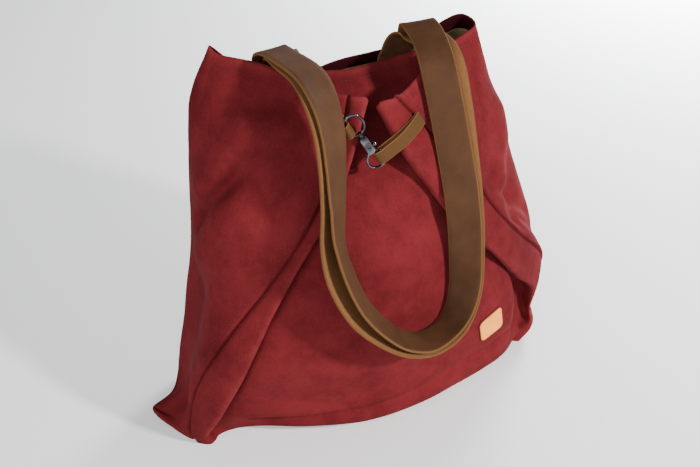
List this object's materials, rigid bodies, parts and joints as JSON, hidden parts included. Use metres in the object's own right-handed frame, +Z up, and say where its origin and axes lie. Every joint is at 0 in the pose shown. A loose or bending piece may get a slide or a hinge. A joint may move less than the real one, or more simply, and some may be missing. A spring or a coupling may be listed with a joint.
{
  "type": "leather tote bag",
  "caption": "Soft open tote whose two side seams are drawn together at the front by a snap hook, with two shoulder straps hanging over the front.",
  "frame": {"origin": "on the floor, on the flat underside of the base, midway between the lower corners", "axes": "+X to the bag's right seen from its front, +Y to its back, +Z up; the front, with the clip, faces -Y"},
  "size_m": [0.4214, 0.2001, 0.3654],
  "materials": {
    "cloth": "brushed matt red nubuck",
    "lining": "matt olive-tan canvas",
    "strap_leather": "smooth tan-brown face, tan flesh side",
    "tab_leather": "satin tan-brown",
    "label_leather": "natural vegetable-tanned, bare",
    "hardware": "polished dark nickel"
  },
  "bodies": {
    "bag": {"bag_body": "cloth", "lining_strip": "lining", "strap_back": "strap_leather", "strap_front": "strap_leather", "hook_tab": "tab_leather", "loop_tab": "tab_leather", "leather_label": "label_leather", "hook_body": "hardware", "hook_eye": "hardware"},
    "gate": {"hook_gate": "hardware"}
  },
  "joints": [
    {"name": "gate_hinge", "type": "hinge", "parent": "bag", "child": "gate", "pos_m": [-0.01122, -0.06187, 0.30015], "axis": [0.0602, 0.9925, -0.106], "range_deg": [0, 12], "stiffness_Nm_per_rad": 0.01, "springref_deg": -11.46}
  ]
}
